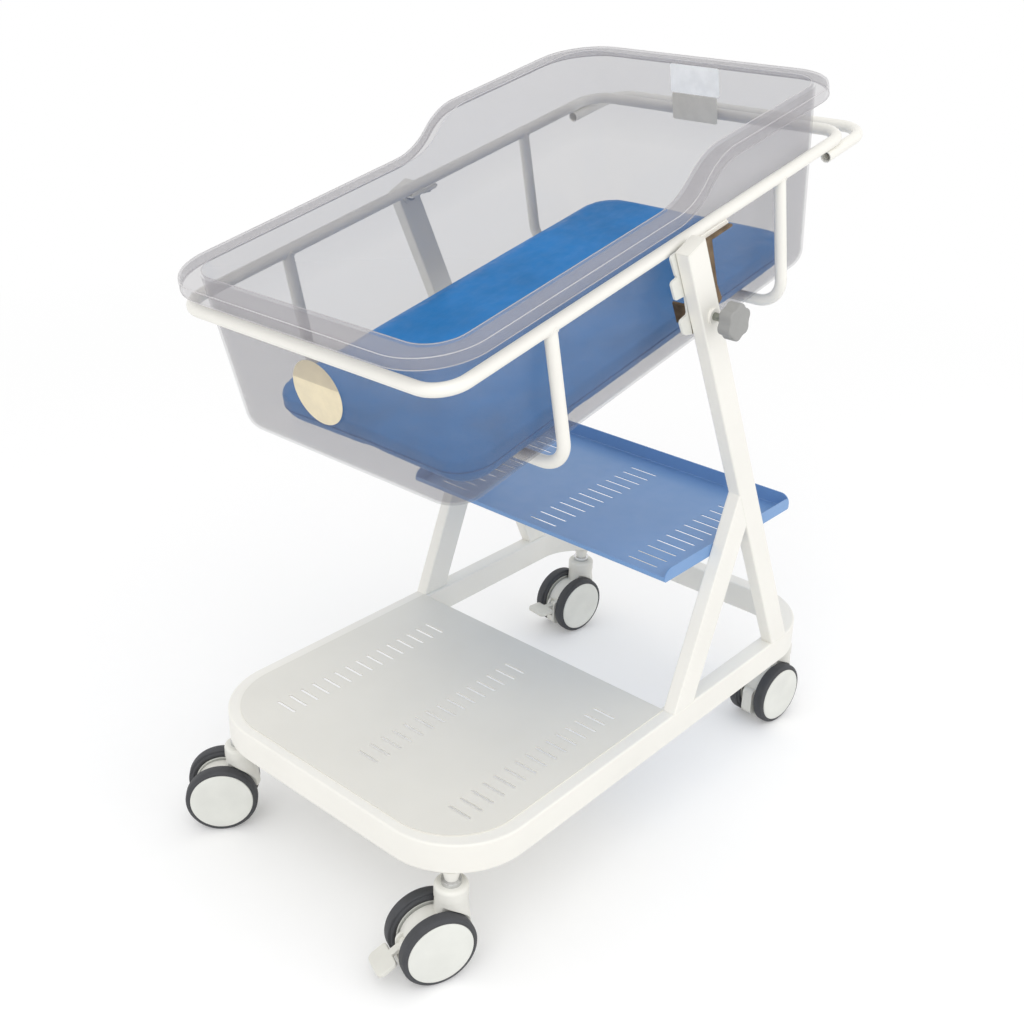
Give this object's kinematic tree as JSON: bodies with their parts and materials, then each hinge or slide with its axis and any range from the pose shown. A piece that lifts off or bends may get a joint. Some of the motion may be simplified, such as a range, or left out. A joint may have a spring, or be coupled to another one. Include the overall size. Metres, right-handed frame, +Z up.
{
  "type": "hospital bassinet",
  "caption": "Newborn bassinet: translucent tub with mattress in a tilting tube basket, on a caster stand with shelf and tray.",
  "frame": {"origin": "on the floor under the centre of the whole bassinet's bounding box", "axes": "+X towards the head end with the push handle, -Y towards the side with the tilt clamp knob, +Z up"},
  "size_m": [0.9306, 0.577, 1.0243],
  "materials": {
    "frame_paint": "satin",
    "tray_paint": "satin",
    "shelf_paint": "satin",
    "cap_plastic": "matte",
    "guard_paint": "satin",
    "zinc": "satin",
    "clamp_zinc": "satin",
    "stem_chrome": "polished",
    "caster_plastic": "satin",
    "hub_plastic": "satin",
    "pedal_plastic": "satin",
    "tyre_rubber": "matte",
    "knob_plastic": "matte",
    "tub_plastic": "gloss",
    "mattress_cover": "satin"
  },
  "bodies": {
    "stand": {"base_frame": "frame_paint", "storage_tray": "tray_paint", "right_post": "frame_paint", "left_post": "frame_paint", "right_leg": "frame_paint", "left_leg": "frame_paint", "post_caps": "cap_plastic", "mid_shelf": "shelf_paint", "shelf_screws": "zinc", "pivot_pins": "zinc", "knob_boss": "frame_paint", "clamp_plate": "clamp_zinc", "clamp_nut": "zinc", "caster_sockets": "frame_paint", "caster_stems": "stem_chrome"},
    "basket": {"basket_ring": "frame_paint", "foot_hanger": "frame_paint", "head_hanger": "frame_paint", "push_handle": "frame_paint", "pivot_strips": "frame_paint", "quadrant": "clamp_zinc", "quadrant_guard": "guard_paint", "left_bracket": "frame_paint", "bracket_screws": "zinc"},
    "tub": {"tub": "tub_plastic"},
    "mattress": {"mattress": "mattress_cover"},
    "knob": {"clamp_knob": "knob_plastic", "clamp_stud": "zinc"},
    "foot_right_swivel": {"foot_right_housing": "caster_plastic", "foot_right_axle": "zinc"},
    "foot_right_wheel_1": {"foot_right_tyre_1": "tyre_rubber", "foot_right_hub_1": "hub_plastic"},
    "foot_right_wheel_2": {"foot_right_tyre_2": "tyre_rubber", "foot_right_hub_2": "hub_plastic"},
    "foot_right_brake": {"foot_right_pedal": "pedal_plastic"},
    "foot_left_swivel": {"foot_left_housing": "caster_plastic", "foot_left_axle": "zinc"},
    "foot_left_wheel_1": {"foot_left_tyre_1": "tyre_rubber", "foot_left_hub_1": "hub_plastic"},
    "foot_left_wheel_2": {"foot_left_tyre_2": "tyre_rubber", "foot_left_hub_2": "hub_plastic"},
    "head_right_swivel": {"head_right_housing": "caster_plastic", "head_right_axle": "zinc"},
    "head_right_wheel_1": {"head_right_tyre_1": "tyre_rubber", "head_right_hub_1": "hub_plastic"},
    "head_right_wheel_2": {"head_right_tyre_2": "tyre_rubber", "head_right_hub_2": "hub_plastic"},
    "head_left_swivel": {"head_left_housing": "caster_plastic", "head_left_axle": "zinc"},
    "head_left_wheel_1": {"head_left_tyre_1": "tyre_rubber", "head_left_hub_1": "hub_plastic"},
    "head_left_wheel_2": {"head_left_tyre_2": "tyre_rubber", "head_left_hub_2": "hub_plastic"},
    "head_left_brake": {"head_left_pedal": "pedal_plastic"}
  },
  "joints": [
    {"name": "basket_tilt", "type": "hinge", "parent": "stand", "child": "basket", "pos_m": [0.00294, 0.00691, 0.84171], "axis": [0, -1, 0], "range_deg": [-24.5, 2.5]},
    {"name": "knob_turn", "type": "hinge", "parent": "stand", "child": "knob", "pos_m": [0.03853, -0.26445, 0.76673], "axis": [0, -1, 0], "range_deg": [0, 360]},
    {"name": "tub_lift", "type": "slide", "parent": "basket", "child": "tub", "axis": [-0.2171, 0, 0.9761], "range_m": [0, 0.26]},
    {"name": "mattress_lift", "type": "slide", "parent": "tub", "child": "mattress", "axis": [-0.2171, 0, 0.9761], "range_m": [0, 0.27]},
    {"name": "foot_right_swivel_turn", "type": "hinge", "parent": "stand", "child": "foot_right_swivel", "pos_m": [-0.36372, -0.19968, 0.1065], "axis": [0, 0, 1], "continuous": true},
    {"name": "foot_right_wheel_1_spin", "type": "hinge", "parent": "foot_right_swivel", "child": "foot_right_wheel_1", "pos_m": [-0.38922, -0.18911, 0.05], "axis": [-0.3827, -0.9239, 0], "continuous": true},
    {"name": "foot_right_wheel_2_spin", "type": "hinge", "parent": "foot_right_swivel", "child": "foot_right_wheel_2", "pos_m": [-0.38922, -0.18911, 0.05], "axis": [-0.3827, -0.9239, 0], "continuous": true},
    {"name": "foot_right_pedal_press", "type": "hinge", "parent": "foot_right_swivel", "child": "foot_right_brake", "pos_m": [-0.421, -0.17595, 0.052], "axis": [0.3827, 0.9239, 0], "range_deg": [0, 45]},
    {"name": "foot_left_swivel_turn", "type": "hinge", "parent": "stand", "child": "foot_left_swivel", "pos_m": [-0.36372, 0.21349, 0.1065], "axis": [0, 0, 1], "continuous": true},
    {"name": "foot_left_wheel_1_spin", "type": "hinge", "parent": "foot_left_swivel", "child": "foot_left_wheel_1", "pos_m": [-0.38439, 0.23178, 0.05], "axis": [-0.6626, -0.749, 0], "continuous": true},
    {"name": "foot_left_wheel_2_spin", "type": "hinge", "parent": "foot_left_swivel", "child": "foot_left_wheel_2", "pos_m": [-0.38439, 0.23178, 0.05], "axis": [-0.6626, -0.749, 0], "continuous": true},
    {"name": "head_right_swivel_turn", "type": "hinge", "parent": "stand", "child": "head_right_swivel", "pos_m": [0.40428, -0.19968, 0.1065], "axis": [0, 0, 1], "continuous": true},
    {"name": "head_right_wheel_1_spin", "type": "hinge", "parent": "head_right_swivel", "child": "head_right_wheel_1", "pos_m": [0.37683, -0.19679, 0.05], "axis": [-0.1045, -0.9945, 0], "continuous": true},
    {"name": "head_right_wheel_2_spin", "type": "hinge", "parent": "head_right_swivel", "child": "head_right_wheel_2", "pos_m": [0.37683, -0.19679, 0.05], "axis": [-0.1045, -0.9945, 0], "continuous": true},
    {"name": "head_left_swivel_turn", "type": "hinge", "parent": "stand", "child": "head_left_swivel", "pos_m": [0.40428, 0.21349, 0.1065], "axis": [0, 0, 1], "continuous": true},
    {"name": "head_left_wheel_1_spin", "type": "hinge", "parent": "head_left_swivel", "child": "head_left_wheel_1", "pos_m": [0.37693, 0.21719, 0.05], "axis": [-0.134, -0.991, 0], "continuous": true},
    {"name": "head_left_wheel_2_spin", "type": "hinge", "parent": "head_left_swivel", "child": "head_left_wheel_2", "pos_m": [0.37693, 0.21719, 0.05], "axis": [-0.134, -0.991, 0], "continuous": true},
    {"name": "head_left_pedal_press", "type": "hinge", "parent": "head_left_swivel", "child": "head_left_brake", "pos_m": [0.34284, 0.2218, 0.052], "axis": [0.134, 0.991, 0], "range_deg": [-30, 15]}
  ]
}
